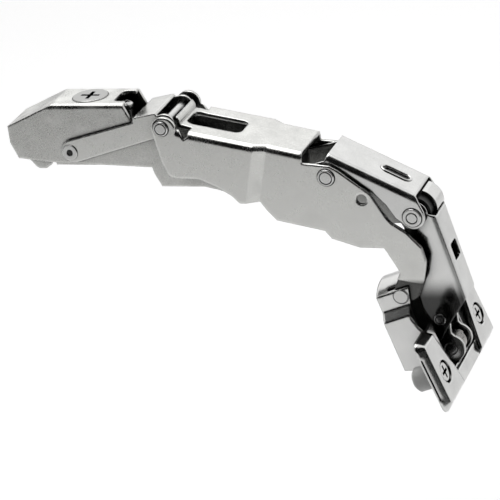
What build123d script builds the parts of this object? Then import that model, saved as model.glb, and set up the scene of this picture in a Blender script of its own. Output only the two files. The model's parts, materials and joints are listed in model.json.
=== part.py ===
"""Wide-angle concealed cup hinge with seven pivots, shown fully open.

Frame: millimetres. The origin is on the axis of the depth screw, on the flat base that sits on
the mounting plate. +X runs along the arm towards the cup, +Z is up through the arm's top and
the hinge is mirrored in the plane Y = 0.
"""
import os
from math import atan2, cos, degrees, hypot, radians, sin, tan

from build123d import *

os.makedirs("parts", exist_ok=True)

# ---------------------------------------------------------------- fits
SIDE_GAP = 0.12          # free play between two sheets that slide past each other, each side
PIN_GAP = 0.03           # radial clearance of a turning pin in its hole
HEAD_HEIGHT = 0.6        # rivet head proud of the sheet
OPEN_PIVOT_GAP = 0.2     # a pin that ends short of the wall beside it

# ---------------------------------------------------------------- sheet thicknesses
ARM_SHEET = 1.2
LINK_SHEET = 1.0
LONG_SHEET = 1.25
SECOND_SHEET = 1.1
OUTER_SHEET = 1.2
CAM_SHEET = 1.1
CUP_SHEET = 1.0

# ---------------------------------------------------------------- half widths, outside faces
ARM_HALF = 7.8
LINK_HALF = ARM_HALF + SIDE_GAP + LINK_SHEET
SECOND_HALF = ARM_HALF + SIDE_GAP + SECOND_SHEET
LONG_HALF_FRONT = SECOND_HALF + SIDE_GAP + LONG_SHEET
LONG_HALF_REAR = 12.4
CUP_HALF = LONG_HALF_FRONT - LONG_SHEET - SIDE_GAP
FOOT_HALF = CUP_HALF - CUP_SHEET - SIDE_GAP
OUTER_HALF = FOOT_HALF - LONG_SHEET - SIDE_GAP
CAM_HALF = OUTER_HALF - OUTER_SHEET - 3 * SIDE_GAP
TAIL_HALF = ARM_HALF - ARM_SHEET - 4 * SIDE_GAP
TAIL_SHEET = 1.05

# ---------------------------------------------------------------- pivots, in X and Z
P1 = (-6.1, 5.3)         # arm to link
P2 = (27.9, 14.8)        # link to long lever
P3 = (79.7, -2.2)        # long lever to second lever
P4 = (105.6, -16.0)      # second lever to outer lever
P5 = (99.1, -43.0)       # long lever to cup
P6 = (44.8, -4.5)        # second lever to the arm's nose
DOOR_ANGLE = 160.3       # from closed to the open pose that is modelled

# ---------------------------------------------------------------- cup, seen from its own axis
CUP_RADIUS = 17.3
CUP_DEPTH = 15.1
P5_TO_AXIS = 12.75       # pivot P5 to the cup's axis, along the door
P5_DEPTH = 6.1           # pivot P5 below the door's face
P7_FROM_AXIS = 10.4      # pivot P7 from the cup's axis, on the far side
P7_DEPTH = 0.3
along = (sin(radians(DOOR_ANGLE)), cos(radians(DOOR_ANGLE)))      # away from the hinge edge
outward = (-cos(radians(DOOR_ANGLE)), sin(radians(DOOR_ANGLE)))   # out of the door's face
CUP_CENTRE = (
    P5[0] + P5_TO_AXIS * along[0] + P5_DEPTH * outward[0],
    P5[1] + P5_TO_AXIS * along[1] + P5_DEPTH * outward[1],
)
P7 = (
    CUP_CENTRE[0] + P7_FROM_AXIS * along[0] - P7_DEPTH * outward[0],
    CUP_CENTRE[1] + P7_FROM_AXIS * along[1] - P7_DEPTH * outward[1],
)
cup_plane = Plane(
    origin=(CUP_CENTRE[0], 0, CUP_CENTRE[1]),
    x_dir=(along[0], 0, along[1]),
    z_dir=(outward[0], 0, outward[1]),
)
side = Plane.XZ          # local x is X, local y is Z, normal is -Y


def at_pivot(pivot):
    """Plane through a pivot, normal to its axis."""
    return Plane(origin=(pivot[0], 0, pivot[1]), x_dir=(1, 0, 0), z_dir=(0, -1, 0))


# ================================================================ pins
def make_pin(name, pivot, shank_radius, half_length, head_radius, head_height, dimple=0.0, groove=None):
    """Rivet on a pivot: shank, two round heads and an optional dimple or ring groove in each head."""
    with BuildPart() as pin:
        with BuildSketch(at_pivot(pivot)):
            Circle(shank_radius)
        extrude(amount=half_length, both=True)
        if head_height > 0:
            for face_side in (1, -1):
                with BuildSketch(at_pivot(pivot).offset(face_side * half_length)):
                    Circle(head_radius)
                extrude(amount=face_side * head_height)
            rims = pin.edges().filter_by(GeomType.CIRCLE).group_by(Axis.Y)
            chamfer([rims[0][-1], rims[-1][-1]], head_height * 0.35)
        if dimple > 0:
            for face_side in (1, -1):
                with BuildSketch(at_pivot(pivot).offset(face_side * (half_length + head_height))):
                    Circle(dimple)
                extrude(amount=-face_side * head_height * 0.7, mode=Mode.SUBTRACT)
        if groove:
            for face_side in (1, -1):
                with BuildSketch(at_pivot(pivot).offset(face_side * (half_length + head_height))):
                    Circle(groove[1])
                    Circle(groove[0], mode=Mode.SUBTRACT)
                extrude(amount=-face_side * head_height * 0.6, mode=Mode.SUBTRACT)
    pin.part.label = name
    export_step(pin.part, f"parts/{name}.step")


P1_SHANK, P2_SHANK, P3_SHANK, P4_SHANK, P5_SHANK, P6_SHANK, P7_SHANK = 1.9, 1.7, 2.0, 2.0, 1.8, 2.0, 1.9

make_pin("pin_1_arm_link", P1, P1_SHANK, LINK_HALF, 2.6, 0.35, dimple=1.1)
make_pin("pin_2_link_lever", P2, P2_SHANK, LONG_HALF_REAR, 2.45, HEAD_HEIGHT, groove=(1.65, 1.9))
make_pin("pin_3_lever_second", P3, P3_SHANK, LONG_HALF_FRONT, 2.7, HEAD_HEIGHT, groove=(1.85, 2.1))
make_pin("pin_4_second_outer", P4, P4_SHANK, SECOND_HALF, 3.0, HEAD_HEIGHT, groove=(1.6, 1.85))
make_pin("pin_5_lever_cup", P5, P5_SHANK, CUP_HALF, 2.2, 0.25)
make_pin("pin_6_tail", P6, P6_SHANK, ARM_HALF - ARM_SHEET - OPEN_PIVOT_GAP, 0, 0)
make_pin("pin_7_cam", P7, P7_SHANK, CAM_HALF, 0, 0)

# ================================================================ arm housing
ARM_TOP = 21.15
ARM_REAR = -27.2
ARM_BEND = -10.75        # where the top turns down to the rear slope
ARM_FRONT = 13.65
REAR_TOP = 13.9
NOSE_FLOOR = -6.7
NOSE_RADIUS = 3.8
DEPTH_SCREW_HOLE = 5.9
slope = atan2(ARM_TOP - REAR_TOP, ARM_BEND - ARM_REAR)
inner_bend = ARM_BEND + ARM_SHEET * tan(slope / 2)

with BuildPart() as arm_housing:
    with BuildSketch(side) as arm_outline:
        with BuildLine():
            Polyline(
                (ARM_REAR, 8.1),
                (ARM_REAR, REAR_TOP),
                (ARM_BEND, ARM_TOP),
                (ARM_FRONT, ARM_TOP),
                (16.5, 14.7),
                (24.5, 12.3),
                (29.5, 6.6),
                (P6[0] - 1.6, P6[1] + NOSE_RADIUS),
                (P6[0], P6[1] - NOSE_RADIUS),
                (38.0, NOSE_FLOOR),
                (23.6, NOSE_FLOOR),
                (21.6, -2.6),
                (21.0, -0.2),
                (-13.9, 1.4),
                (-25.0, 2.8),
                close=True,
            )
        make_face()
        with Locations(P6):
            Circle(NOSE_RADIUS)
    extrude(amount=ARM_HALF, both=True)
    with BuildSketch(side):
        with BuildLine():
            Polyline(
                (inner_bend, ARM_TOP - ARM_SHEET),
                (ARM_FRONT + 0.2, ARM_TOP - ARM_SHEET),
                (ARM_FRONT + 0.2, ARM_TOP + 4),
                (60, ARM_TOP + 4),
                (60, -20),
                (ARM_REAR - 6, -20),
                (ARM_REAR - 6, ARM_TOP - ARM_SHEET - (inner_bend - ARM_REAR + 6) * tan(slope)),
                close=True,
            )
        make_face()
    extrude(amount=ARM_HALF - ARM_SHEET, both=True, mode=Mode.SUBTRACT)
    with BuildSketch(Plane.XY.offset(ARM_TOP - 3)):
        Circle(DEPTH_SCREW_HOLE)
    extrude(amount=6, mode=Mode.SUBTRACT)
    with BuildSketch(Plane.XY.offset(ARM_TOP - 3)):
        with Locations((ARM_FRONT + 0.6, 0)):
            RectangleRounded(9.6, 9.4, 2.2)
    extrude(amount=6, mode=Mode.SUBTRACT)
    with BuildSketch(at_pivot(P1)):
        Circle(P1_SHANK + PIN_GAP)
    extrude(amount=ARM_HALF + 1, both=True, mode=Mode.SUBTRACT)
    top_edges = arm_housing.edges().filter_by(Axis.X).group_by(Axis.Z)[-1]
    fillet([e for e in top_edges if abs(abs(e.center().Y) - ARM_HALF) < 0.01], 1.4)
arm_housing.part.label = "arm_housing"
export_step(arm_housing.part, "parts/arm_housing.step")

# ================================================================ carriage on the mounting plate
CARRIAGE_HALF = ARM_HALF - ARM_SHEET - 2 * SIDE_GAP
CARRIAGE_SHEET = 1.2
CARRIAGE_REAR, CARRIAGE_FRONT = -23.5, 16.0
BASE_SHEET = 1.4
BASE_REAR = -12.6
BRIDGE_TOP = 13.4
DEPTH_TRAVEL = 2.0                       # the arm slides this far each way on the carriage
LEVER_PIVOT = (-20.0, 9.2)
LEVER_PIN_RADIUS = 1.2
CAM_THROW = 2.3                          # eccentric of the depth screw
CAM_PEG_RADIUS = 2.4
CAM_PLAY = 0.16
SIDE_SCREW_X = 11.9
SIDE_SCREW_RADIUS = 2.0
SPRING_X = -15.6
SPRING_TOP = 7.9
SPRING_COIL_RADIUS = 1.8
SPRING_WIRE = 0.6

with BuildPart() as carriage:
    with BuildSketch(side):
        with BuildLine():
            Polyline(
                (CARRIAGE_REAR, 6.4), (CARRIAGE_REAR, 11.4), (-20.5, BRIDGE_TOP), (9.2, BRIDGE_TOP),
                (CARRIAGE_FRONT, 8.0), (CARRIAGE_FRONT, 0), (-12.6, 0), (-14.0, 5.4), close=True,
            )
        make_face()
    extrude(amount=CARRIAGE_HALF, both=True)
    with BuildSketch(side):
        with BuildLine():
            Polyline(
                (-40, BASE_SHEET), (20, BASE_SHEET), (20, BRIDGE_TOP - CARRIAGE_SHEET),
                (-8.2, BRIDGE_TOP - CARRIAGE_SHEET), (-8.2, 20), (-40, 20), close=True,
            )
        make_face()
    extrude(amount=CARRIAGE_HALF - CARRIAGE_SHEET, both=True, mode=Mode.SUBTRACT)
    with BuildSketch(side):
        with BuildLine():
            Polyline((9.2, 20), (9.2, 8.4), (18, 8.4), (18, 20), close=True)
        make_face()
    extrude(amount=CARRIAGE_HALF - CARRIAGE_SHEET, both=True, mode=Mode.SUBTRACT)
    with BuildSketch(Plane.XY):
        with Locations(((-18.6 + BASE_REAR) / 2 + 0.5, 0)):
            Rectangle(BASE_REAR + 18.6 + 1, 6.2)
    extrude(amount=BASE_SHEET)
    with BuildSketch(Plane.XY):
        with Locations((SIDE_SCREW_X, 0)):
            Rectangle(6.6, 2 * CARRIAGE_HALF)
    extrude(amount=8.4)
    with BuildSketch(Plane.XY.offset(BRIDGE_TOP - 4)):
        Rectangle(2 * (CAM_PEG_RADIUS + CAM_PLAY), 2 * (CAM_THROW + CAM_PEG_RADIUS + CAM_PLAY))
    extrude(amount=8, mode=Mode.SUBTRACT)
    with BuildSketch(Plane.XY.offset(BASE_SHEET + 1.0)):
        with Locations((SIDE_SCREW_X, 0)):
            Circle(SIDE_SCREW_RADIUS + PIN_GAP)
    extrude(amount=12, mode=Mode.SUBTRACT)
    with BuildSketch(at_pivot(P1)):
        SlotOverall(2 * (P1_SHANK + DEPTH_TRAVEL + 0.3), 2 * (P1_SHANK + 0.3))
    extrude(amount=10, both=True, mode=Mode.SUBTRACT)
    with BuildSketch(at_pivot(LEVER_PIVOT)):
        Circle(LEVER_PIN_RADIUS)
    extrude(amount=10, both=True, mode=Mode.SUBTRACT)
carriage.part.label = "carriage"
export_step(carriage.part, "parts/carriage.step")

# ================================================================ depth screw and side screw
COLLAR_RADIUS = 6.3
HEAD_OF_CAM = 5.75
CAM_TOP = ARM_TOP + 0.35


def cross_recess(centre, top, length, width, depth):
    """Four-way driver recess cut down from `top`."""
    with BuildPart() as recess:
        with BuildSketch(Plane.XY.offset(top - depth)):
            with Locations(centre):
                Rectangle(length, width)
                Rectangle(width, length)
        extrude(amount=depth + 2)
    return recess.part


with BuildPart() as depth_screw:
    with BuildSketch(Plane.XY.offset(ARM_TOP - ARM_SHEET - 0.1)):
        Circle(HEAD_OF_CAM)
    extrude(amount=CAM_TOP - ARM_TOP + ARM_SHEET + 0.1)
    chamfer(depth_screw.edges().filter_by(GeomType.CIRCLE).group_by(Axis.Z)[-1], 0.3)
    with BuildSketch(Plane.XY.offset(ARM_TOP - ARM_SHEET - 1.1)):
        Circle(COLLAR_RADIUS)
    extrude(amount=1.0)
    with BuildSketch(Plane.XY.offset(BRIDGE_TOP + 0.3)):
        Circle(CAM_THROW + CAM_PEG_RADIUS + 0.5)
    extrude(amount=ARM_TOP - ARM_SHEET - 1.1 - BRIDGE_TOP - 0.3)
    with BuildSketch(Plane.XY.offset(BRIDGE_TOP - CARRIAGE_SHEET - 0.6)):
        with Locations((0, CAM_THROW)):
            Circle(CAM_PEG_RADIUS)
    extrude(amount=CARRIAGE_SHEET + 1.2)
    add(cross_recess((0, 0), CAM_TOP, 6.4, 1.3, 2.2), mode=Mode.SUBTRACT)
depth_screw.part.label = "depth_screw"
export_step(depth_screw.part, "parts/depth_screw.step")

SIDE_SCREW_TOP = 19.2
with BuildPart() as side_screw:
    with BuildSketch(Plane.XY.offset(BASE_SHEET + 1.2)):
        with Locations((SIDE_SCREW_X, 0)):
            Circle(SIDE_SCREW_RADIUS)
    extrude(amount=SIDE_SCREW_TOP - BASE_SHEET - 2)
    with BuildSketch(Plane.XY.offset(SIDE_SCREW_TOP - 2.4)):
        with Locations((SIDE_SCREW_X, 0)):
            Circle(2.3)
    extrude(amount=2.4)
    chamfer(side_screw.edges().filter_by(GeomType.CIRCLE).group_by(Axis.Z)[-1], 0.6)
    add(cross_recess((SIDE_SCREW_X, 0), SIDE_SCREW_TOP, 2.8, 0.7, 1.4), mode=Mode.SUBTRACT)
side_screw.part.label = "side_screw"
export_step(side_screw.part, "parts/side_screw.step")

# ================================================================ release lever at the rear
RELEASE_HALF = CARRIAGE_HALF - CARRIAGE_SHEET - 0.15
with BuildPart() as release_lever:
    with BuildSketch(side):
        with BuildLine():
            Polyline(
                (-27.4, 7.2), (-27.6, 4.4), (-26.9, 3.4), (-24.2, 2.9), (-22.2, 0.8), (-20.6, -1.2),
                (-19.6, -1.85), (-17.1, -1.85), (-15.3, -0.7), (-15.0, 0.5), (-18.2, 1.6), (-18.2, 7.9),
                (-13.4, 7.9), (-13.4, 9.0), (-18.0, 9.0), (-18.4, 11.2), (-22.0, 11.2), (-25.8, 8.0),
                close=True,
            )
        make_face()
    extrude(amount=RELEASE_HALF, both=True)
    with BuildSketch(side):
        with BuildLine():
            Polyline(
                (-26.2, 20), (-26.2, 5.2), (-24.0, 3.9), (-20.0, 3.4), (-20.0, -4), (-10, -4), (-10, 7.9),
                (-18.4, 7.9), (-18.4, 9.0), (-10, 9.0), (-10, 20), close=True,
            )
        make_face()
    extrude(amount=RELEASE_HALF - 1.1, both=True, mode=Mode.SUBTRACT)
    with BuildSketch(at_pivot(LEVER_PIVOT)):
        Circle(LEVER_PIN_RADIUS + PIN_GAP)
    extrude(amount=10, both=True, mode=Mode.SUBTRACT)
release_lever.part.label = "release_lever"
export_step(release_lever.part, "parts/release_lever.step")
make_pin("release_pin", LEVER_PIVOT, LEVER_PIN_RADIUS, CARRIAGE_HALF, 0, 0)

with BuildPart() as release_spring:
    with BuildSketch(Plane.XY.offset(BASE_SHEET)):
        with Locations((SPRING_X, 0)):
            Circle(SPRING_COIL_RADIUS + SPRING_WIRE / 2)
            Circle(SPRING_COIL_RADIUS - SPRING_WIRE / 2, mode=Mode.SUBTRACT)
    extrude(amount=SPRING_TOP - BASE_SHEET)
release_spring.part.label = "release_spring"
export_step(release_spring.part, "parts/release_spring.step")

# ================================================================ link
LINK_END_RADIUS = 3.75
with BuildPart() as link_bar:
    with BuildSketch(side):
        with BuildSketch(side, mode=Mode.PRIVATE) as link_ends:
            with Locations((P1[0] + 1.0, P1[1] + 0.3)):
                Circle(LINK_END_RADIUS)
            with Locations(P2):
                Circle(LINK_END_RADIUS - 0.4)
        make_hull(link_ends.edges())
        with BuildLine():
            Polyline((17.4, 17.0), (24.9, 18.5), (27.9, 14.8), (16.6, 12.0), close=True)
        make_face()
    extrude(amount=LINK_HALF, both=True)
    with BuildSketch(side):
        with BuildLine():
            Polyline(
                (-12, 25), (16.0, 25), (16.0, 15.7), (25.4, 17.5), (25.4, 25), (40, 25), (40, -8), (-12, -8),
                close=True,
            )
        make_face()
    extrude(amount=LINK_HALF - LINK_SHEET, both=True, mode=Mode.SUBTRACT)
    for pivot, shank in ((P1, P1_SHANK), (P2, P2_SHANK)):
        with BuildSketch(at_pivot(pivot)):
            Circle(shank + PIN_GAP)
        extrude(amount=LINK_HALF + 1, both=True, mode=Mode.SUBTRACT)
link_bar.part.label = "link_bar"
export_step(link_bar.part, "parts/link_bar.step")

# ================================================================ long lever
FIRST_JOGGLE = (60.6, 5.0)       # upper end of the first joggle's front ridge
JOGGLE_LEAN = radians(14.2)      # the ridge leans back towards the arm
JOGGLE_RUN = 3.6
SECOND_JOGGLE = (102.4, -35.1)   # left end of the second joggle's upper ridge
SECOND_LEAN = radians(10.6)
SECOND_RUN = 2.3
LEVER_BORE = (90.4, -9.5)
LEVER_BORE_RADIUS = 1.75
LEVER_EYE = 3.0
LONG_BEND = 2.1          # outer bend radius between web and walls

joggle_plane = Plane(
    origin=(FIRST_JOGGLE[0], 0, FIRST_JOGGLE[1]),
    x_dir=(cos(JOGGLE_LEAN), 0, -sin(JOGGLE_LEAN)),
    z_dir=(sin(JOGGLE_LEAN), 0, cos(JOGGLE_LEAN)),
)
foot_plane = Plane(
    origin=(SECOND_JOGGLE[0], 0, SECOND_JOGGLE[1]),
    x_dir=(-sin(SECOND_LEAN), 0, -cos(SECOND_LEAN)),
    z_dir=(cos(SECOND_LEAN), 0, -sin(SECOND_LEAN)),
)


def spread(plane, rear, front, run, length):
    """Plan filled between both sides: half width `rear`, a joggle over `run`, then `front`."""
    half = [(-length, rear), (-run, rear), (0, front), (length, front)]
    with BuildSketch(plane) as shape:
        with BuildLine():
            Polyline(*half, *[(x, -y) for x, y in reversed(half)], close=True)
        make_face()
    return shape.sketch


with BuildPart() as lever_hollow:
    extrude(
        spread(joggle_plane, LONG_HALF_REAR - LONG_SHEET, LONG_HALF_FRONT - LONG_SHEET, JOGGLE_RUN, 90),
        amount=90, both=True,
    )
    foot_start = foot_plane.offset(0).shift_origin(foot_plane.from_local_coords((SECOND_RUN, 0, 0)))
    extrude(
        spread(foot_start, 30, FOOT_HALF - LONG_SHEET, SECOND_RUN, 90),
        amount=110, both=True, mode=Mode.INTERSECT,
    )
    with BuildSketch(side):
        with BuildLine():
            Polyline(
                (10, 40), (31.6, 40), (31.6, 13.2), (37.0, 11.9), (55.6, 8.1), (72.3, 4.4), (72.3, 40),
                (130, 40), (130, -60), (10, -60), close=True,
            )
        make_face()
    extrude(amount=30, both=True, mode=Mode.INTERSECT)

with BuildPart() as long_lever:
    extrude(spread(joggle_plane, LONG_HALF_REAR, LONG_HALF_FRONT, JOGGLE_RUN, 90), amount=90, both=True)
    extrude(spread(foot_start, 32, FOOT_HALF, SECOND_RUN, 90), amount=110, both=True, mode=Mode.INTERSECT)
    with BuildSketch(side):
        with BuildLine():
            Polyline(
                (24.7, 13.4), (26.6, 3.2), (28.3, -1.2), (30.3, -2.05), (38.3, -2.3), (43.9, -4.9),
                (48.6, -7.9), (50.8, -10.4), (57.0, -10.6), (58.8, -13.4), (61.8, -16.9), (77.3, -20.3),
                (79.2, -22.9), (88.1, -25.8), (95.9, -25.9), (97.6, -29.0), (100.2, -34.0), (97.2, -40.2),
                (97.0, -42.0), (102.4, -45.2), (104.5, -43.7), (106.1, -40.1), (107.6, -36.9), (108.55, -33.0), (109.0, -30.4),
                (107.9, -25.5), (103.5, -20.5), (99.0, -17.4), (97.5, -15.5), (93.2, -7.6), (83.6, 0),
                (81.0, 1.5), (72.3, 2.4), (72.3, 5.7), (55.6, 9.4), (37.0, 13.2), (32.6, 14.4), (30.2, 16.5),
                (27.0, 16.5), close=True,
            )
        make_face()
        with Locations((28.6, 14.4)):
            Circle(4.0)
        with Locations(P5):
            Circle(LEVER_EYE)
    extrude(amount=30, both=True, mode=Mode.INTERSECT)
    bends = [
        edge for edge in long_lever.edges()
        if abs(edge.center().Y) > 9 and 36 < edge.center().X < 72.3
        and abs(edge.center().Z - (9.4 - (edge.center().X - 55.6) * (0.2043 if edge.center().X < 55.6 else 0.2216))) < 0.1
    ]
    fillet(bends, LONG_BEND)
    add(lever_hollow.part, mode=Mode.SUBTRACT)
    with BuildSketch(Plane.XY.offset(20)):
        with Locations((42.3, 0)):
            RectangleRounded(18.0, 10.0, 2.4)
        for face_side in (1, -1):
            with Locations((33.0, face_side * 9.35)):
                Rectangle(6.4, 3.5)
    extrude(amount=-11, mode=Mode.SUBTRACT)
    with BuildSketch(side):
        with BuildLine():
            Polyline((32.6, 15.6), (34.9, 11.0), (36.3, 12.0), (37.2, 20), (32.9, 20), (32.6, 17.5), close=True)
        make_face()
    notch = extrude(amount=LONG_HALF_REAR + 1, both=True, mode=Mode.PRIVATE)
    with BuildSketch(Plane.XY):
        Rectangle(200, 15.2)
    between_ears = extrude(amount=40, mode=Mode.PRIVATE)
    add(notch - between_ears, mode=Mode.SUBTRACT)
    with BuildSketch(at_pivot(LEVER_BORE)):
        Circle(LEVER_BORE_RADIUS)
    extrude(amount=30, both=True, mode=Mode.SUBTRACT)
    for pivot, shank in ((P2, P2_SHANK), (P3, P3_SHANK), (P5, P5_SHANK)):
        with BuildSketch(at_pivot(pivot)):
            Circle(shank + PIN_GAP)
        extrude(amount=30, both=True, mode=Mode.SUBTRACT)
long_lever.part.label = "long_lever"
export_step(long_lever.part, "parts/long_lever.step")

# ================================================================ second lever
TAIL_START = 68.2        # the wide front part ends here
TAIL_RUN = 4.0
TAIL_EYE = 4.0
SECOND_BEND = 2.0
tail_plane = Plane(origin=(TAIL_START, 0, 0), x_dir=(-1, 0, 0), z_dir=(0, 0, -1))

with BuildPart() as second_hollow:
    tail_bend = tail_plane.shift_origin((TAIL_START - TAIL_RUN, 0, 0))
    extrude(
        spread(tail_bend, SECOND_HALF - SECOND_SHEET, TAIL_HALF - TAIL_SHEET, TAIL_RUN, 90),
        amount=60, both=True,
    )
    with BuildSketch(side):
        with BuildLine():
            Polyline(
                (20, 30), (79.2, 30), (79.2, 3.8), (80.2, 3.4), (106.4, -9.9), (107.6, -9.0), (130, -9.0),
                (130, -60), (20, -60), close=True,
            )
        make_face()
    extrude(amount=30, both=True, mode=Mode.INTERSECT)

with BuildPart() as second_lever:
    extrude(spread(tail_bend, SECOND_HALF, TAIL_HALF, TAIL_RUN, 90), amount=60, both=True)
    with BuildSketch(side):
        with BuildLine():
            Polyline(
                (79.2, 2.6), (80.4, 4.75), (107.0, -8.8), (109.5, -14.7), (106.0, -19.9), (103.2, -18.8),
                (100.2, -16.5), (97.6, -12.0), (93.1, -7.4), (84.0, -6.4), (79.7, -7.0), (75.0, -6.0),
                (64.0, -5.6), (P6[0], P6[1] - 3.4), (P6[0], P6[1] + 3.4), (64.0, -0.6), (75.0, 1.6),
                close=True,
            )
        make_face()
        with Locations(P3):
            Circle(4.8)
        with Locations(P4):
            Circle(4.0)
        with Locations(P6):
            Circle(TAIL_EYE)
    extrude(amount=30, both=True, mode=Mode.INTERSECT)
    fillet([
        edge for edge in second_lever.edges()
        if abs(abs(edge.center().Y) - SECOND_HALF) < 0.01 and abs(edge.center().X - 93.7) < 0.1 and abs(edge.center().Z + 2.02) < 0.1
    ], SECOND_BEND)
    add(second_hollow.part, mode=Mode.SUBTRACT)
    with BuildSketch(Plane.XY.offset(5)):
        with Locations((99.2, 0)):
            SlotOverall(8.4, 3.2)
    extrude(amount=-14, mode=Mode.SUBTRACT)
    for pivot, shank in ((P3, P3_SHANK), (P4, P4_SHANK), (P6, P6_SHANK)):
        with BuildSketch(at_pivot(pivot)):
            Circle(shank + PIN_GAP)
        extrude(amount=30, both=True, mode=Mode.SUBTRACT)
second_lever.part.label = "second_lever"
export_step(second_lever.part, "parts/second_lever.step")

# ================================================================ outer lever and its cam plates
CAM_RIVET = (110.2, -51.9)
CAM_RIVET_SHANK = 1.5
LOBE_RADIUS = 4.6
OUTER_BEND = 2.0

with BuildPart() as outer_lever:
    with BuildSketch(side):
        with BuildLine():
            Polyline(
                (101.4, -16.0), (109.8, -16.0), (112.4, -16.9), (119.3, -44.8), (112.9, -54.1),
                (109.6, -59.7), (107.5, -53.0), (105.0, -48.0), (103.8, -40.0), close=True,
            )
        make_face()
        with Locations(P4):
            Circle(4.2)
    extrude(amount=OUTER_HALF, both=True)
    fillet([
        edge for edge in outer_lever.edges()
        if abs(abs(edge.center().Y) - OUTER_HALF) < 0.01 and abs(edge.center().X - 115.85) < 0.1 and abs(edge.center().Z + 30.85) < 0.1
    ], OUTER_BEND)
    with BuildSketch(side):
        with BuildLine():
            Polyline(
                (95, -5), (111.9, -5), (111.9, -16.5), (118.0, -44.3), (118.0, -70), (95, -70), close=True,
            )
        make_face()
    extrude(amount=OUTER_HALF - OUTER_SHEET, both=True, mode=Mode.SUBTRACT)
    with BuildSketch(Plane.YZ.offset(112)):
        with Locations((0, -30.5)):
            RectangleRounded(5.6, 5.6, 0.8)
    extrude(amount=8, mode=Mode.SUBTRACT)
    for pivot, shank in ((P4, P4_SHANK), (CAM_RIVET, CAM_RIVET_SHANK - PIN_GAP)):
        with BuildSketch(at_pivot(pivot)):
            Circle(shank + PIN_GAP)
        extrude(amount=30, both=True, mode=Mode.SUBTRACT)
outer_lever.part.label = "outer_lever"
export_step(outer_lever.part, "parts/outer_lever.step")

with BuildPart() as cam_plates:
    with BuildSketch(side):
        with BuildLine():
            Polyline(
                (108.2, -40.0), (113.2, -39.0), (114.4, -45.0), (112.9, -54.1), (113.0, -57.6),
                (114.6, -59.4), P7, (108.4, -60.6), (107.6, -55.0), (106.6, -50.0), close=True,
            )
        make_face()
        with Locations(P7):
            Circle(LOBE_RADIUS)
    extrude(amount=CAM_HALF, both=True)
    with BuildSketch(side):
        Rectangle(400, 400)
    extrude(amount=CAM_HALF - CAM_SHEET, both=True, mode=Mode.SUBTRACT)
    for pivot, shank in ((P7, P7_SHANK), (CAM_RIVET, CAM_RIVET_SHANK)):
        with BuildSketch(at_pivot(pivot)):
            Circle(shank)
        extrude(amount=30, both=True, mode=Mode.SUBTRACT)
cam_plates.part.label = "cam_plates"
export_step(cam_plates.part, "parts/cam_plates.step")

make_pin("cam_rivet", CAM_RIVET, CAM_RIVET_SHANK, OUTER_HALF, 2.0, 0.4)

# ================================================================ cup: pot and wing plate
WING_INNER, WING_OUTER = -2.9, 21.6      # along the door, from the cup's axis
WING_HALF = 29.2
WING_SHEET = 0.8
WING_INSET = 0.9                         # wing plate inside the cover's rim
COVER_HEIGHT = 2.2
LIP_HEIGHT = 0.8
LIP_START = 16.2
POT_HALF = LONG_HALF_FRONT + SIDE_GAP + CUP_SHEET     # the pot takes in the long lever's wide walls
BAY_HALF = POT_HALF - CUP_SHEET                       # half width of the bay for the levers
CUP_FLOOR = 0.6
STEP_START, STEP_END = -9.5, -6.7                     # the pot narrows over this step, towards pivot 5
BAY_END = 15.0
cup_side = Plane(origin=cup_plane.origin, x_dir=cup_plane.x_dir, z_dir=(0, -1, 0))
wing_middle = (WING_INNER + WING_OUTER) / 2
wing_length = WING_OUTER - WING_INNER
SCREW_FROM_AXIS = 11.0
SCREW_PITCH = 42.0
screw_spots = [(SCREW_FROM_AXIS, SCREW_PITCH / 2), (SCREW_FROM_AXIS, -SCREW_PITCH / 2)]
SCREW_RADIUS = 1.9

def pot_plan(plane, radius, inset):
    """Plan of the pot: a disc with a narrow flat pair, a step and a wide flat pair."""
    half = [
        (-30, CUP_HALF - inset), (STEP_START, CUP_HALF - inset),
        (STEP_END, POT_HALF - inset), (30, POT_HALF - inset),
    ]
    with BuildSketch(plane) as plan:
        Circle(radius)
        with BuildLine():
            Polyline(*half, *[(x, -y) for x, y in reversed(half)], close=True)
        make_face(mode=Mode.INTERSECT)
    return plan.sketch


with BuildPart() as pot_inside:
    extrude(pot_plan(cup_plane.offset(-CUP_DEPTH + CUP_FLOOR), CUP_RADIUS - CUP_SHEET, CUP_SHEET), amount=CUP_DEPTH + 4)
    with BuildSketch(cup_side):
        with BuildLine():
            Polyline(
                (-20, 5), (17.6, 5), (17.0, 0), (15.6, -0.2), (15.3, -1.8), (14.3, -3.5), (12.7, -5.9),
                (11.0, -9.6), (9.5, -CUP_DEPTH + CUP_FLOOR), (-20, -13.3), close=True,
            )
        make_face()
    extrude(amount=30, both=True, mode=Mode.INTERSECT)

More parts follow.
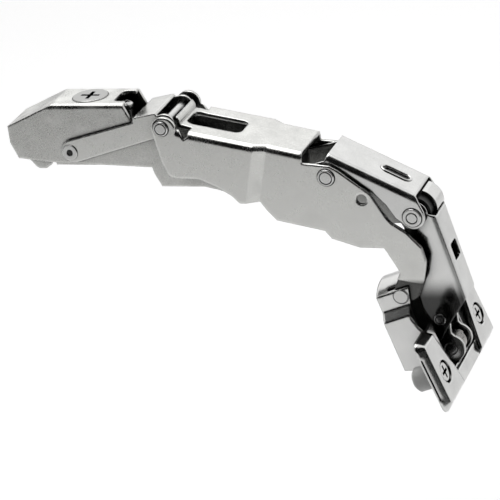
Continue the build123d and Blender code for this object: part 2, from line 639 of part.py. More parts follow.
with BuildPart() as cup:
    extrude(pot_plan(cup_plane.offset(-CUP_DEPTH), CUP_RADIUS, 0), amount=CUP_DEPTH)
    with BuildSketch(cup_side):
        with BuildLine():
            Polyline(
                (-20, -2.3), (-15.9, -2.3), (-10.4, -4.1), (-7.0, -5.2), (-5.6, -5.3), (-2.0, -4.5), (0.2, -3.4),
                (2.6, -1.2), (4.0, 0), (BAY_END, 0), (17.3, 0), (17.3, -0.8), (16.4, -2.2),
                (15.2, -4.2), (13.6, -6.4), (12.0, -9.8), (10.4, -CUP_DEPTH), (-20, -13.9), close=True,
            )
        make_face()
    extrude(amount=30, both=True, mode=Mode.INTERSECT)
    with BuildSketch(cup_plane):
        with Locations((wing_middle, 0)):
            RectangleRounded(wing_length - 2 * WING_INSET, 2 * (WING_HALF - WING_INSET), 1.6)
        with Locations((BAY_END - 20, 0)):
            Rectangle(40, 2 * BAY_HALF, mode=Mode.SUBTRACT)
        with Locations(*screw_spots):
            Circle(SCREW_RADIUS + 0.2, mode=Mode.SUBTRACT)
    extrude(amount=-WING_SHEET)
    add(pot_inside.part, mode=Mode.SUBTRACT)
    with BuildSketch(cup_plane):
        with Locations((BAY_END - 2.5, 0)):
            Rectangle(5, 2 * BAY_HALF)
    extrude(amount=-2.7, mode=Mode.SUBTRACT)
    with BuildSketch(cup_plane.offset(1)):
        for face_side in (1, -1):
            with Locations((-15.0, face_side * (FOOT_HALF - LONG_SHEET / 2))):
                Rectangle(5, LONG_SHEET + 4 * SIDE_GAP)
    extrude(amount=-11.0, mode=Mode.SUBTRACT)
    with BuildSketch(at_pivot(P5)):
        Circle(P5_SHANK)
    extrude(amount=30, both=True, mode=Mode.SUBTRACT)
cup.part.label = "cup"
export_step(cup.part, "parts/cup.step")

# ================================================================ cover, dowels and their screws
with BuildPart() as wing_cover:
    with BuildSketch(cup_plane):
        with Locations((wing_middle, 0)):
            RectangleRounded(wing_length, 2 * WING_HALF, 2.4)
    extrude(amount=COVER_HEIGHT, taper=45)
    crown = wing_cover.faces().sort_by(Axis(cup_plane.origin, cup_plane.z_dir))[-1]
    fillet(crown.edges(), 0.9)
    with BuildSketch(cup_plane):
        with Locations((wing_middle, 0)):
            RectangleRounded(wing_length, 2 * WING_HALF, 2.4)
            RectangleRounded(wing_length - 2 * WING_INSET, 2 * (WING_HALF - WING_INSET), 1.6, mode=Mode.SUBTRACT)
    extrude(amount=-WING_SHEET)
    with BuildSketch(cup_plane.offset(-2)):
        with BuildLine():
            Polyline(
                (-8, -20.0), (LIP_START, -12.3), (LIP_START, 12.3), (-8, 20.0), close=True,
            )
        make_face()
    extrude(amount=8, mode=Mode.SUBTRACT)
    with BuildSketch(cup_plane.offset(LIP_HEIGHT)):
        with BuildLine():
            Polyline((LIP_START - 1, -12.6), (23, -10.4), (23, 10.4), (LIP_START - 1, 12.6), close=True)
        make_face()
    extrude(amount=8, mode=Mode.SUBTRACT)
    for face_side in (1, -1):
        with BuildSketch(cup_side.offset(face_side * (WING_HALF - WING_INSET))):
            with Locations((9.65, 0)):
                Rectangle(14.5, 0.5)
        extrude(amount=face_side * 2, mode=Mode.SUBTRACT)
    with BuildSketch(cup_plane):
        with Locations(*screw_spots):
            Circle(3.75)
    extrude(amount=8, mode=Mode.SUBTRACT)
wing_cover.part.label = "wing_cover"
export_step(wing_cover.part, "parts/wing_cover.step")

DOWEL_RADIUS = 4.0
DOWEL_DEPTH = 7.5
DOWEL_BORE = 3.8
with BuildPart() as dowels:
    with BuildSketch(cup_plane.offset(-WING_SHEET)):
        with Locations(*screw_spots):
            Circle(DOWEL_RADIUS)
    extrude(amount=-DOWEL_DEPTH)
    tips = dowels.edges().filter_by(GeomType.CIRCLE).group_by(Axis(cup_plane.origin, cup_plane.z_dir))[0]
    chamfer(tips, 0.9)
    with BuildSketch(cup_plane):
        with Locations(*screw_spots):
            Circle(SCREW_RADIUS)
    extrude(amount=-DOWEL_BORE, mode=Mode.SUBTRACT)
dowels.part.label = "dowels"
export_step(dowels.part, "parts/dowels.step")

HEAD_RADIUS = 3.6
with BuildPart() as dowel_screws:
    with BuildSketch(cup_plane):
        with Locations(*screw_spots):
            Circle(HEAD_RADIUS)
    extrude(amount=1.8)
    rims = dowel_screws.edges().filter_by(GeomType.CIRCLE).group_by(Axis(cup_plane.origin, cup_plane.z_dir))[-1]
    chamfer(rims, 0.7)
    with BuildSketch(cup_plane):
        with Locations(*screw_spots):
            Circle(SCREW_RADIUS)
    extrude(amount=-DOWEL_BORE + 0.2)
    with BuildSketch(cup_plane.offset(0.5)):
        with Locations(*screw_spots):
            Rectangle(4.2, 0.9)
            Rectangle(0.9, 4.2)
    extrude(amount=3, mode=Mode.SUBTRACT)
dowel_screws.part.label = "dowel_screws"
export_step(dowel_screws.part, "parts/dowel_screws.step")

# ================================================================ buffer and closing spring
with BuildPart() as buffer_block:
    with BuildSketch(side):
        with BuildLine():
            Polyline(
                (101.2, -9.6), (106.2, -11.9), (108.6, -13.4), (109.4, -16.2), (107.4, -18.6),
                (103.4, -18.4), (100.4, -14.0), close=True,
            )
        make_face()
    extrude(amount=OUTER_HALF - OUTER_SHEET - 0.2, both=True)
    with BuildSketch(at_pivot(P4)):
        Circle(P4_SHANK)
    extrude(amount=10, both=True, mode=Mode.SUBTRACT)
buffer_block.part.label = "buffer_block"
export_step(buffer_block.part, "parts/buffer_block.step")

COIL_WIRE = 1.1
COIL_RADIUS = 3.0
COIL_HALF = 2.9
with BuildPart() as closing_spring:
    with BuildSketch(at_pivot(P7)):
        Circle(COIL_RADIUS + COIL_WIRE / 2)
        Circle(COIL_RADIUS - COIL_WIRE / 2, mode=Mode.SUBTRACT)
    extrude(amount=COIL_HALF, both=True)
closing_spring.part.label = "closing_spring"
export_step(closing_spring.part, "parts/closing_spring.step")
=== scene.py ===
"""Concealed cup hinge: plated finishes, spring wire, pressed edges, studio, light and camera.

Metres, in the hinge's own frame: +X runs along the arm towards the cup, +Z is up through the arm's
top, and the hinge is mirrored in Y = 0. Values in millimetres are multiplied by MM.
"""
import json
import math

import bmesh
import bpy
from mathutils import Matrix, Vector


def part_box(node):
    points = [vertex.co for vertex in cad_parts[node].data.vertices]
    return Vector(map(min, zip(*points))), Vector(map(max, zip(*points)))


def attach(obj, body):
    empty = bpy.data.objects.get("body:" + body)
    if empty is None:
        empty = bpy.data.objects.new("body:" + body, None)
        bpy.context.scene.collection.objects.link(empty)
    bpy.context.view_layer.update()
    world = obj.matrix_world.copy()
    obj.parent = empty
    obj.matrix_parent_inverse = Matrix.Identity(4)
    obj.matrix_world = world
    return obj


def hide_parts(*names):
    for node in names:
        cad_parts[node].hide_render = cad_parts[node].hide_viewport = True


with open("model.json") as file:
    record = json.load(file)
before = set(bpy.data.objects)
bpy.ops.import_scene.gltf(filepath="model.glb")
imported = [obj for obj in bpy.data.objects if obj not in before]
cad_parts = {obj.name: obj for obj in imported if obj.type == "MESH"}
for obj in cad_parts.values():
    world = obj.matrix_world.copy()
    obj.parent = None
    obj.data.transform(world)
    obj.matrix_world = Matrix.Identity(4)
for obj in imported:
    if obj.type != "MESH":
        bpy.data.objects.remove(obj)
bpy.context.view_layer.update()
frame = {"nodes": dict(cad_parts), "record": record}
scene = bpy.context.scene
MM = 0.001

PIVOT = {
    joint["name"]: Vector(joint["pos_m"])
    for joint in frame["record"]["behaviour"]["joints"]
    if joint["name"].startswith("pivot_")
}
LEVER_BORE = Vector((90.4, 0, -9.5)) * MM       # bore through the long lever's walls
CAM_RIVET = Vector((110.2, 0, -51.9)) * MM


# ------------------------------------------------------------------ shader nodes
def feed(tree, socket, value):
    """Link an output to the socket, or set the socket's own value."""
    if isinstance(value, bpy.types.NodeSocket):
        tree.links.new(value, socket)
    else:
        socket.default_value = value


def calculate(tree, operation, *values, clamp=False):
    """Math node on numbers and outputs; returns its result."""
    node = tree.nodes.new("ShaderNodeMath")
    node.operation = operation
    node.use_clamp = clamp
    for socket, value in zip(node.inputs, values):
        feed(tree, socket, value)
    return node.outputs[0]


def vector_math(tree, operation, *values, result="Vector"):
    """Vector Math node on vectors and outputs; returns the named result."""
    node = tree.nodes.new("ShaderNodeVectorMath")
    node.operation = operation
    for socket, value in zip(node.inputs, values):
        feed(tree, socket, value)
    return node.outputs[result]


def scaled(tree, color, factor):
    """A colour times a factor."""
    node = tree.nodes.new("ShaderNodeVectorMath")
    node.operation = "SCALE"
    feed(tree, node.inputs[0], color)
    feed(tree, node.inputs["Scale"], factor)
    return node.outputs[0]


def remap(tree, value, start, end, low=0.0, high=1.0, interpolation="LINEAR"):
    """Clamped Map Range node: start gives low and end gives high."""
    node = tree.nodes.new("ShaderNodeMapRange")
    node.interpolation_type = interpolation
    sockets = {"Value": value, "From Min": start, "From Max": end, "To Min": low, "To Max": high}
    for label, number in sockets.items():
        feed(tree, node.inputs[label], number)
    return node.outputs["Result"]


def component(tree, vector, axis):
    """One coordinate of a vector, such as "Y"."""
    node = tree.nodes.new("ShaderNodeSeparateXYZ")
    tree.links.new(vector, node.inputs[0])
    return node.outputs[axis]


def object_place(tree):
    """Place on the piece, in the piece's own coordinates."""
    return tree.nodes.new("ShaderNodeTexCoord").outputs["Object"]


def face_normal(tree):
    """Direction that the surface faces."""
    return tree.nodes.new("ShaderNodeNewGeometry").outputs["Normal"]


def rounded_normal(tree, radius, samples):
    """Direction that the surface would face with its corners rounded."""
    node = tree.nodes.new("ShaderNodeBevel")
    node.samples = samples
    node.inputs["Radius"].default_value = radius
    return node.outputs["Normal"]


def openness(tree, distance):
    """1 on an open surface, falling to 0 where other surfaces stand closer than the distance."""
    node = tree.nodes.new("ShaderNodeAmbientOcclusion")
    node.samples = 6
    feed(tree, node.inputs["Distance"], distance)
    return node.outputs["AO"]


def noise(tree, scale, detail, roughness):
    """Noise on the piece's own coordinates."""
    node = tree.nodes.new("ShaderNodeTexNoise")
    tree.links.new(object_place(tree), node.inputs["Vector"])
    feed(tree, node.inputs["Scale"], scale)
    node.inputs["Detail"].default_value = detail
    node.inputs["Roughness"].default_value = roughness
    return node.outputs["Fac"]


# ------------------------------------------------------------------ shared effects
FLOAT, COLOR, VECTOR = "NodeSocketFloat", "NodeSocketColor", "NodeSocketVector"
SPECK_SCALE = 2600.0            # noise cells per metre
CLOUD_SCALE = 160.0
CORNER_RADIUS = 0.13 * MM       # burnished band along a sheet's corner, brightened as a painted highlight
BURNISH = -0.5                  # change of roughness on a burnished corner
CREVICE_REACH = 1.1 * MM        # seam between two sheets
GROOVE_SHARPNESS = 12000.0      # per metre, across the edge of a groove
GROOVE_SHADE_DEPTH = -0.93            # painted shade: change of brightness in a groove or hole
GROOVE_FACING = 0.6             # the painted shade of a groove shows on faces turned this far to +Y or -Y


def new_group(name, inputs, outputs):
    """Empty node group with its sockets; returns the group, what it is given and its results."""
    group = bpy.data.node_groups.new(name, "ShaderNodeTree")
    for label, kind in inputs.items():
        group.interface.new_socket(name=label, in_out="INPUT", socket_type=kind)
    for label, kind in outputs.items():
        group.interface.new_socket(name=label, in_out="OUTPUT", socket_type=kind)
    return group, group.nodes.new("NodeGroupInput").outputs, group.nodes.new("NodeGroupOutput").inputs


def place_group(tree, group, values):
    """Put a group in a material with its own values; returns the group's outputs."""
    node = tree.nodes.new("ShaderNodeGroup")
    node.node_tree = group
    for label, value in values.items():
        feed(tree, node.inputs[label], value)
    return node.outputs


def build_grain_group():
    """Rolled sheet grain: fine specks and broad clouds vary the tone, the roughness and the height."""
    group, given, result = new_group(
        "sheet_grain",
        {"Base": COLOR, "Roughness": FLOAT, "Scale": FLOAT, "Tone": FLOAT, "Rough Spread": FLOAT},
        {"Color": COLOR, "Roughness": FLOAT, "Height": FLOAT},
    )
    speck = noise(group, calculate(group, "MULTIPLY", given["Scale"], SPECK_SCALE), 3.0, 0.6)
    cloud = noise(group, calculate(group, "MULTIPLY", given["Scale"], CLOUD_SCALE), 2.0, 0.5)
    centred = calculate(group, "SUBTRACT", calculate(group, "ADD", speck, cloud), 1.0)
    tone = calculate(group, "MULTIPLY_ADD", centred, given["Tone"], 1.0)
    rough = calculate(group, "MULTIPLY_ADD", centred, given["Rough Spread"], given["Roughness"])
    feed(group, result["Color"], scaled(group, given["Base"], tone))
    feed(group, result["Roughness"], rough)
    feed(group, result["Height"], speck)
    return group


def build_edge_group():
    """Burnished corners with a painted highlight: a brighter, smoother band where the surface turns."""
    group, given, result = new_group(
        "burnish_and_highlight_edge",
        {"Color": COLOR, "Roughness": FLOAT, "Edge Color": COLOR},
        {"Color": COLOR, "Roughness": FLOAT},
    )
    rounded = rounded_normal(group, CORNER_RADIUS, 4)
    likeness = vector_math(group, "DOT_PRODUCT", rounded, face_normal(group), result="Value")
    edge = remap(group, likeness, 0.995, 0.9)
    # painted highlight: the corner band takes the brighter edge colour
    mix = group.nodes.new("ShaderNodeMix")
    mix.data_type = "RGBA"
    factor_socket, first_socket, second_socket = mix.inputs[0], mix.inputs[6], mix.inputs[7]
    feed(group, factor_socket, edge)
    feed(group, first_socket, given["Color"])
    feed(group, second_socket, given["Edge Color"])
    smooth = calculate(group, "MULTIPLY_ADD", edge, BURNISH, 1.0)
    feed(group, result["Color"], mix.outputs[2])
    feed(group, result["Roughness"], calculate(group, "MULTIPLY", given["Roughness"], smooth))
    return group


def build_recess_group():
    """Shade in recesses up to the reach, and in the seams between sheets."""
    group, given, result = new_group("recess_shade", {"Reach": FLOAT}, {"Factor": FLOAT})
    recess = remap(group, openness(group, given["Reach"]), 0.30, 0.82, 0.05, 1.0)
    seam = remap(group, openness(group, CREVICE_REACH), 0.45, 0.85, 0.12, 1.0)
    feed(group, result["Factor"], calculate(group, "MULTIPLY", recess, seam))
    return group


def build_groove_shade_group():
    """Painted shade of a round groove or hole about an axis along Y: almost 0 between the two radii, 1
    elsewhere.
    """
    group, given, result = new_group(
        "painted_groove_shade", {"Center": VECTOR, "Inner": FLOAT, "Outer": FLOAT}, {"Factor": FLOAT}
    )
    offset = vector_math(group, "SUBTRACT", object_place(group), given["Center"])
    across = vector_math(group, "MULTIPLY", offset, (1.0, 0.0, 1.0))
    distance = vector_math(group, "LENGTH", across, result="Value")
    past_inner = calculate(group, "SUBTRACT", distance, given["Inner"])
    short_of_outer = calculate(group, "SUBTRACT", given["Outer"], distance)
    sideways = calculate(group, "ABSOLUTE", component(group, face_normal(group), "Y"))
    band = calculate(group, "GREATER_THAN", sideways, GROOVE_FACING)
    for gap in (past_inner, short_of_outer):
        inside = calculate(group, "MULTIPLY_ADD", gap, GROOVE_SHARPNESS, 0.5, clamp=True)
        band = calculate(group, "MULTIPLY", band, inside)
    feed(group, result["Factor"], calculate(group, "MULTIPLY_ADD", band, GROOVE_SHADE_DEPTH, 1.0))
    return group


def build_inner_shade_group():
    """Painted shade inside a folded channel: least on walls that face the middle plane, 1 elsewhere."""
    group, given, result = new_group("painted_channel_shade", {"Least": FLOAT}, {"Factor": FLOAT})
    half = calculate(group, "SIGN", component(group, object_place(group), "Y"))
    outward = calculate(group, "MULTIPLY", half, component(group, face_normal(group), "Y"))
    feed(group, result["Factor"], remap(group, outward, -0.85, -0.35, given["Least"], 1.0))
    return group


def build_fade_group():
    """Painted shade and dark reflection on side walls that darken downwards, from 1 at the high level to
    least at the low one.
    """
    group, given, result = new_group(
        "lower_shade", {"High": FLOAT, "Low": FLOAT, "Least": FLOAT}, {"Factor": FLOAT}
    )
    height = component(group, object_place(group), "Z")
    level = remap(group, height, given["Low"], given["High"], given["Least"], 1.0, "SMOOTHSTEP")
    sideways = calculate(group, "ABSOLUTE", component(group, face_normal(group), "Y"))
    wall = remap(group, sideways, 0.35, 0.85)
    loss = calculate(group, "MULTIPLY", calculate(group, "SUBTRACT", 1.0, level), wall)
    feed(group, result["Factor"], calculate(group, "SUBTRACT", 1.0, loss))
    return group


GRAIN = build_grain_group()
EDGE = build_edge_group()
RECESS = build_recess_group()
GROOVE_SHADE = build_groove_shade_group()
INNER_SHADE = build_inner_shade_group()
FADE = build_fade_group()


# ------------------------------------------------------------------ finishes
NICKEL = (0.66, 0.66, 0.64)
CLEAR_NICKEL = (0.66, 0.66, 0.65)
BRIGHT_NICKEL = (0.68, 0.68, 0.67)
# painted highlight: colour of the burnished band on corners
BURNISH_AND_HIGHLIGHT = (0.9, 0.9, 0.9)
BUMP_HEIGHT = 0.1 * MM


def in_node(node_name, place):
    """A place in the hinge's frame, in the node's own coordinates."""
    return frame["nodes"][node_name].matrix_world.inverted() @ place


def groove(node_name, place, inner, outer):
    """Values of one painted dark ring or disc of shade on a node, with radii in millimetres."""
    return {"Center": in_node(node_name, place), "Inner": inner * MM, "Outer": outer * MM}


def lower_shade(node_name, high, low, least):
    """Values of the painted shade on a node's lower walls, with levels in millimetres."""
    levels = [in_node(node_name, Vector((0, 0, level)) * MM).z for level in (high, low)]
    return {"High": levels[0], "Low": levels[1], "Least": least}


def plated(name, base, roughness, tone=0.06, grain=1.0, spread=0.08, bump=0.02, metallic=1.0, bevel=0.12,
           edge_color=BURNISH_AND_HIGHLIGHT, reach=12.0, groove_shades=(), fade=None, inner=None):
    """Plated sheet: grain, burnished corners with a painted highlight, and painted shade in recesses,
    grooves, channel insides and on lower walls. Bevel and reach in millimetres.
    """
    material = bpy.data.materials.new(name)
    material.use_nodes = True
    tree = material.node_tree
    shader = tree.nodes["Principled BSDF"].inputs
    shader["Metallic"].default_value = metallic
    sheet = place_group(tree, GRAIN, {
        "Base": (*base, 1.0), "Roughness": roughness, "Scale": grain, "Tone": tone, "Rough Spread": spread,
    })
    edged = place_group(tree, EDGE, {
        "Color": sheet["Color"], "Roughness": sheet["Roughness"], "Edge Color": (*edge_color, 1.0),
    })
    shades = [(RECESS, {"Reach": reach * MM})] + [(GROOVE_SHADE, values) for values in groove_shades]
    # inner: least level of the painted shade on the walls inside a channel
    if inner is not None:
        shades.append((INNER_SHADE, {"Least": inner}))
    # painted shade and dark reflection on the lower side walls
    if fade is not None:
        shades.append((FADE, fade))
    color = edged["Color"]
    for group, values in shades:
        color = scaled(tree, color, place_group(tree, group, values)["Factor"])
    feed(tree, shader["Base Color"], color)
    feed(tree, shader["Roughness"], edged["Roughness"])
    relief = tree.nodes.new("ShaderNodeBump")
    relief.inputs["Strength"].default_value = bump
    relief.inputs["Distance"].default_value = BUMP_HEIGHT
    feed(tree, relief.inputs["Height"], sheet["Height"])
    feed(tree, relief.inputs["Normal"], rounded_normal(tree, bevel * MM, 16))
    feed(tree, shader["Normal"], relief.outputs["Normal"])
    return material


def moulded(name, base, roughness, tone=0.05, bump=0.15):
    """Moulded plastic with a fine spark-eroded grain and slightly lighter corners, a painted highlight."""
    lighter = tuple(min(1.0, 1.3 * part) for part in base)
    return plated(name, base, roughness, tone=tone, grain=0.8, bump=bump, metallic=0.0, edge_color=lighter)


def pin_steel(node_name, pivot, inner, outer):
    """Rivet with the painted shade of a round groove or dimple in its heads."""
    return plated(node_name + "_head", (0.64, 0.64, 0.63), 0.25, tone=0.12, bump=0.05, bevel=0.3,
                  groove_shades=[groove(node_name, PIVOT[pivot], inner, outer)])


ARM_STEEL = plated("arm_nickel", (0.62, 0.62, 0.60), 0.30, tone=0.9, spread=0.5, bump=0.25, bevel=0.9,
                   inner=0.3)
LEVER_STEEL = plated("lever_nickel", NICKEL, 0.24, tone=0.45, spread=0.3, bump=0.12, bevel=1.0, reach=25.0,
                     groove_shades=[groove("long_lever", PIVOT["pivot_2"], 2.45, 2.75),
                              groove("long_lever", PIVOT["pivot_3"], 2.7, 3.0)],
                     fade=lower_shade("long_lever", -36.0, -38.2, 0.16))
LINK_STEEL = plated("link_nickel", NICKEL, 0.24, tone=0.4, spread=0.3, bump=0.10, bevel=0.6)
FRONT_STEEL = plated("front_lever_nickel", CLEAR_NICKEL, 0.20, tone=0.35, spread=0.2, bump=0.08, bevel=0.9,
                     reach=20.0,
                     # painted shade: the second lever is darkened where it shows through the long lever's
                     # bore
                     groove_shades=[groove("second_lever", LEVER_BORE, 0.0, 1.9),
                              groove("second_lever", PIVOT["pivot_4"], 3.0, 3.3)])
OUTER_STEEL = plated("outer_lever_nickel", BRIGHT_NICKEL, 0.15, tone=0.3, bump=0.05, bevel=0.9, reach=20.0,
                     fade=lower_shade("outer_lever", -37.0, -45.0, 0.10), inner=0.2)
SHOULDER_STEEL = plated("shoulder_nickel", BRIGHT_NICKEL, 0.16, tone=0.2, bump=0.03, bevel=0.3)
CUP_STEEL = plated("cup_nickel", CLEAR_NICKEL, 0.20, tone=0.3, bump=0.05, bevel=1.2,
                   groove_shades=[groove("cup", PIVOT["pivot_5"], 2.4, 2.65)])
COVER_STEEL = plated("cover_nickel", BRIGHT_NICKEL, 0.16, tone=0.3, bump=0.05, bevel=1.5)
CAM_STEEL = plated("cam_nickel", (0.60, 0.60, 0.59), 0.22, tone=0.08, bump=0.03, bevel=0.6)
# painted shade: the cam rivet's dark base colour stands in for the shade it sits in
RIVET_DARK = plated("cam_rivet_shade", (0.20, 0.20, 0.20), 0.25, tone=0.2, bevel=0.3,
                    groove_shades=[groove("cam_rivet", CAM_RIVET, 1.1, 1.45)])
PIN_STEEL = plated("rivet_nickel", (0.62, 0.62, 0.61), 0.26, tone=0.12, bump=0.05, bevel=0.3)
SCREW_STEEL = plated("screw_plate", CLEAR_NICKEL, 0.20, tone=0.08, bump=0.03)
CAM_SCREW_STEEL = plated("cam_screw_plate", (0.42, 0.42, 0.41), 0.33, tone=0.12, bump=0.05)
SPRING_STEEL = plated("spring_wire", (0.55, 0.54, 0.52), 0.28, tone=0.08, bump=0.05)
DOWEL_PLASTIC = moulded("dowel_plastic", (0.62, 0.62, 0.61), 0.45)
BUFFER_PLASTIC = moulded("buffer_plastic", (0.012, 0.012, 0.012), 0.42)

FINISH = {
    "arm_housing": ARM_STEEL,
    "carriage": ARM_STEEL,
    "release_lever": ARM_STEEL,
    "release_spring": SPRING_STEEL,
    "depth_screw": CAM_SCREW_STEEL,
    "side_screw": SCREW_STEEL,
    "link_bar": LINK_STEEL,
    "long_lever": LEVER_STEEL,
    "second_lever": FRONT_STEEL,
    "outer_lever": OUTER_STEEL,
    "cam_plates": CAM_STEEL,
    "cam_rivet": RIVET_DARK,
    "cup": CUP_STEEL,
    "wing_cover": COVER_STEEL,
    "dowels": DOWEL_PLASTIC,
    "dowel_screws": SCREW_STEEL,
    "buffer_block": BUFFER_PLASTIC,
    "closing_spring": SPRING_STEEL,
    "pin_1_arm_link": pin_steel("pin_1_arm_link", "pivot_1", 0.0, 1.05),
    "pin_2_link_lever": pin_steel("pin_2_link_lever", "pivot_2", 1.65, 1.95),
    "pin_3_lever_second": pin_steel("pin_3_lever_second", "pivot_3", 1.85, 2.15),
    "pin_4_second_outer": pin_steel("pin_4_second_outer", "pivot_4", 1.6, 1.9),
}
for node_name, node_object in frame["nodes"].items():
    finish = FINISH.get(node_name, PIN_STEEL)       # the other pins are plain
    for slot in node_object.material_slots:
        slot.material = finish


# ------------------------------------------------------------------ spring wire and pressed edges
WIRE_SIDES = 10
STEPS_PER_TURN = 24
SLOT_END_STEPS = 10
ARC_STEPS = 14
MERGE_DISTANCE = 0.001 * MM


def body_of(node_name):
    """Name of the moving body that a CAD node belongs to."""
    bodies = frame["record"]["behaviour"]["bodies"]
    return next(body for body, members in bodies.items() if node_name in members)


def add_piece(name, shape, finish, node_name, smooth=True):
    """Turn a bmesh into a piece of the hinge that rides with the named CAD node."""
    bmesh.ops.recalc_face_normals(shape, faces=shape.faces)
    mesh = bpy.data.meshes.new(name)
    shape.to_mesh(mesh)
    shape.free()
    for face in mesh.polygons:
        face.use_smooth = smooth
    mesh.materials.append(finish)
    piece = bpy.data.objects.new(name, mesh)
    scene.collection.objects.link(piece)
    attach(piece, body_of(node_name))
    return piece


def wire_section(centre, out, up, radius):
    """New bmesh with the ring of a wire's section, in the plane of out and up; returns it and the ring."""
    shape = bmesh.new()
    placed = Matrix((-up, out, -up.cross(out))).transposed().to_4x4()
    placed.translation = centre
    bmesh.ops.create_circle(shape, cap_ends=False, radius=radius, segments=WIRE_SIDES, matrix=placed)
    return shape, shape.verts[:] + shape.edges[:]


def wire_coil(start, axis, length, coil_radius, wire_radius, turns):
    """Coil of round wire along an axis: the section spun about it, rising a little at each step."""
    side = axis.orthogonal().normalized()
    steps = turns * STEPS_PER_TURN
    first = start + wire_radius * axis + coil_radius * side
    shape, ring = wire_section(first, side, axis, wire_radius)
    rise = (length - 2 * wire_radius) / steps * axis
    bmesh.ops.spin(shape, geom=ring, cent=start, axis=axis, dvec=rise, angle=math.tau * turns, steps=steps)
    bmesh.ops.holes_fill(shape, edges=shape.edges, sides=WIRE_SIDES)
    return shape


def slot_edge(centre, along, up, half_run, end_radius, edge_radius):
    """Rolled edge of a slot: the section spun about one end, carried along a side, and so back."""
    across = up.cross(along)
    first = centre + half_run * along - end_radius * across
    shape, ring = wire_section(first, -across, up, edge_radius)
    for end in (1, -1):
        pivot = centre + end * half_run * along
        spun = bmesh.ops.spin(shape, geom=ring, cent=pivot, axis=up, angle=math.pi, steps=SLOT_END_STEPS)
        edges = [part for part in spun["geom_last"] if isinstance(part, bmesh.types.BMEdge)]
        ring = bmesh.ops.extrude_edge_only(shape, edges=edges)["geom"]
        points = [part for part in ring if isinstance(part, bmesh.types.BMVert)]
        bmesh.ops.translate(shape, verts=points, vec=-2 * end * half_run * along)
        ring = [part for part in ring if not isinstance(part, bmesh.types.BMFace)]
    bmesh.ops.remove_doubles(shape, verts=shape.verts, dist=MERGE_DISTANCE)
    return shape


def arc_plate(centre, radii, angles, sides):
    """Curved plate about an axis along Y. Radii and the Y of its two sides are in millimetres, and
    angles in degrees from +X towards +Z."""
    inner, outer = radii
    near, far = sides
    start, end = (math.radians(angle) for angle in angles)
    out = Vector((math.cos(start), 0, math.sin(start)))
    shape = bmesh.new()
    corners = [(outer, near), (outer, far), (inner, far), (inner, near)]
    points = [shape.verts.new(centre + (radius * out + Vector((0, y, 0))) * MM) for radius, y in corners]
    shape.faces.new(points)
    section = shape.verts[:] + shape.edges[:] + shape.faces[:]
    bmesh.ops.spin(shape, geom=section, cent=centre, axis=(0, -1, 0), angle=end - start, steps=ARC_STEPS)
    return shape


spring_low, spring_high = (Vector(corner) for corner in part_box("closing_spring"))
SPRING_MIDDLE = (spring_low + spring_high) / 2
SPRING_START = Vector((SPRING_MIDDLE.x, spring_low.y, SPRING_MIDDLE.z))
SPRING_LENGTH = spring_high.y - spring_low.y
SPRING_WIRE = 0.52 * MM
SPRING_RADIUS = (spring_high.z - spring_low.z) / 2 - SPRING_WIRE
SPRING_TURNS = 5
spring = add_piece(
    "closing_spring_wire",
    wire_coil(SPRING_START, Vector((0, 1, 0)), SPRING_LENGTH, SPRING_RADIUS, SPRING_WIRE, SPRING_TURNS),
    SPRING_STEEL, "closing_spring",
)
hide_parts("closing_spring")

WEB_ALONG = Vector((0.8910, 0, -0.4540))        # down the second lever's top web
WEB_UP = Vector((0.4540, 0, 0.8910))
SLOT_CENTRE = Vector((99.2, 0, -4.83)) * MM
SLOT_HALF_RUN = 3.1 * MM                        # from the slot's middle to the centre of an end
SLOT_END_RADIUS = 1.85 * MM
SLOT_EDGE_RADIUS = 0.42 * MM
add_piece(
    "slot_lip",
    slot_edge(SLOT_CENTRE, WEB_ALONG, WEB_UP, SLOT_HALF_RUN, SLOT_END_RADIUS, SLOT_EDGE_RADIUS),
    FRONT_STEEL, "second_lever",
)

add_piece(
    "outer_shoulder",
    arc_plate(PIVOT["pivot_4"], radii=(5.15, 6.2), angles=(-22, 74), sides=(-1.5, 6.5)),
    SHOULDER_STEEL, "outer_lever", smooth=False,
)
pad = add_piece(
    "buffer_pad",
    arc_plate(PIVOT["pivot_4"], radii=(2.4, 5.05), angles=(-38, 118), sides=(-5.1, 5.1)),
    BUFFER_PLASTIC, "buffer_block", smooth=False,
)
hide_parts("buffer_block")


# ------------------------------------------------------------------ floor and cards
FLOOR_Z = -0.16
FLOOR_ENDS = (-4.0, 4.0)
FRONT_ENDS = (-2.2, 1.6)        # black cards that the polished steel mirrors
FRONT_Y = -1.0
FRONT_TOP = 2.1
APRON_Z = FLOOR_Z + 0.002
APRON_BACK = -0.56
FLAG_BACK = -0.28
SIDE_X = 1.3
SIDE_BACK = 0.12
SIDE_TOP = 1.5
HAZE_ENDS = (-4.0, 0.2)         # grey card behind the hinge
HAZE_Y = 2.6
HAZE_TOP = 0.55


def plain_card(name, level):
    """Matt card material of one grey level, without gloss."""
    material = bpy.data.materials.new(name)
    material.use_nodes = True
    shader = material.node_tree.nodes["Principled BSDF"].inputs
    shader["Base Color"].default_value = (level, level, level, 1.0)
    shader["Roughness"].default_value = 1.0
    shader["Specular IOR Level"].default_value = 0.0
    return material


def glowing_card(name, level, seen, mirrored):
    """Matt material that adds one plain glow for the camera and another in polished metal."""
    material = bpy.data.materials.new(name)
    material.use_nodes = True
    tree = material.node_tree
    shader = tree.nodes["Principled BSDF"].inputs
    shader["Base Color"].default_value = (level, level, level, 1.0)
    shader["Roughness"].default_value = 0.9
    shader["Emission Color"].default_value = (1.0, 1.0, 1.0, 1.0)
    path = tree.nodes.new("ShaderNodeLightPath").outputs
    direct = calculate(tree, "MULTIPLY", path["Is Camera Ray"], seen)
    glow = calculate(tree, "MULTIPLY_ADD", path["Is Glossy Ray"], mirrored, direct)
    feed(tree, shader["Emission Strength"], glow)
    return material


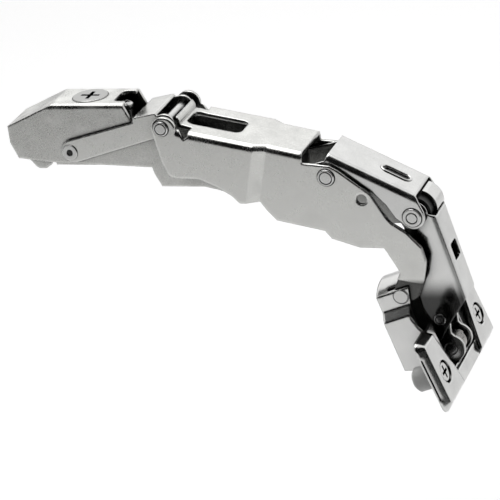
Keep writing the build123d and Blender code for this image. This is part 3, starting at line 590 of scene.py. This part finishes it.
def add_card(name, corners, material):
    """Flat four-cornered card of the studio."""
    mesh = bpy.data.meshes.new(name)
    shape = bmesh.new()
    shape.faces.new([shape.verts.new(corner) for corner in corners])
    shape.to_mesh(mesh)
    shape.free()
    mesh.materials.append(material)
    card = bpy.data.objects.new(name, mesh)
    scene.collection.objects.link(card)


def level_card(name, ends, front, back, z, material):
    """Level card between two X ends and two Y edges."""
    left, right = ends
    add_card(name, [(left, front, z), (right, front, z), (right, back, z), (left, back, z)], material)


def upright_card(name, start, end, top, material):
    """Upright card over the line between two points of the floor."""
    add_card(name, [(*start, FLOOR_Z), (*end, FLOOR_Z), (*end, top), (*start, top)], material)


BLACK_CARD = plain_card("black_card", 0.01)
FLOOR_WHITE = glowing_card("floor_white", 0.85, seen=0.40, mirrored=0.28)
HAZE_GREY = glowing_card("haze_grey", 0.6, seen=0.6, mirrored=0.35)
level_card("floor", FLOOR_ENDS, -4.0, 8.0, FLOOR_Z, FLOOR_WHITE)
upright_card("front_card", (FRONT_ENDS[0], FRONT_Y), (FRONT_ENDS[1], FRONT_Y), FRONT_TOP, BLACK_CARD)
level_card("front_apron", FRONT_ENDS, FRONT_Y, APRON_BACK, APRON_Z, BLACK_CARD)
level_card("front_flag", FRONT_ENDS, FRONT_Y, FLAG_BACK, FRONT_TOP, BLACK_CARD)
upright_card("side_card", (SIDE_X, FRONT_Y), (SIDE_X, SIDE_BACK), SIDE_TOP, BLACK_CARD)
upright_card("back_haze", (HAZE_ENDS[0], HAZE_Y), (HAZE_ENDS[1], HAZE_Y), HAZE_TOP, HAZE_GREY)


# ------------------------------------------------------------------ light
HINGE_MIDDLE = Vector((0.047, 0.0, -0.032))
WORLD_LIGHT = 0.55              # strength of the surroundings as light
WORLD_SEEN = 0.45               # added where the surroundings are seen or mirrored


def soft_box(name, offset, width, depth, power):
    """Rectangular lamp at an offset from the hinge, aimed at it."""
    light = bpy.data.lights.new(name, "AREA")
    light.energy = power
    light.shape = "RECTANGLE"
    light.size = width
    light.size_y = depth
    lamp = bpy.data.objects.new(name, light)
    lamp.location = HINGE_MIDDLE + Vector(offset)
    lamp.rotation_euler = (-Vector(offset)).to_track_quat("-Z", "Y").to_euler()
    scene.collection.objects.link(lamp)


def white_world():
    """White surroundings that are brighter to the eye and in mirrors than as light."""
    world = bpy.data.worlds.new("studio")
    world.use_nodes = True
    tree = world.node_tree
    background = tree.nodes["Background"].inputs
    background["Color"].default_value = (1.0, 1.0, 1.0, 1.0)
    path = tree.nodes.new("ShaderNodeLightPath").outputs
    seen = calculate(tree, "ADD", path["Is Camera Ray"], path["Is Glossy Ray"])
    seen = calculate(tree, "ADD", seen, path["Is Transmission Ray"])
    feed(tree, background["Strength"], calculate(tree, "MULTIPLY_ADD", seen, WORLD_SEEN, WORLD_LIGHT))
    return world


soft_box("top_box", (-0.15, 0.05, 0.75), 0.9, 0.6, power=4.0)
soft_box("back_box", (-0.35, 0.9, 0.42), 1.3, 0.7, power=0.45)
scene.world = white_world()


# ------------------------------------------------------------------ camera
CAMERA_PLACE = Vector((0.32789, -0.70154, 0.28736))
CAMERA_RIGHT = Vector((0.93949541, 0.31860255, -0.12586021))
CAMERA_DOWN = Vector((0.01639895, -0.40881738, -0.91246886))
CAMERA_AHEAD = Vector((-0.34216875, 0.85519633, -0.3893068))
LENS = 183.6                    # millimetres on a 36 mm sensor
camera_data = bpy.data.cameras.new("camera")
camera_data.lens = LENS
camera_data.sensor_width = 36.0
camera_data.clip_end = 20.0
camera = bpy.data.objects.new("camera", camera_data)
pose = Matrix((CAMERA_RIGHT, -CAMERA_DOWN, -CAMERA_AHEAD)).transposed().to_4x4()
pose.translation = CAMERA_PLACE
camera.matrix_world = pose
scene.collection.objects.link(camera)
scene.camera = camera
scene.view_settings.view_transform = "Standard"
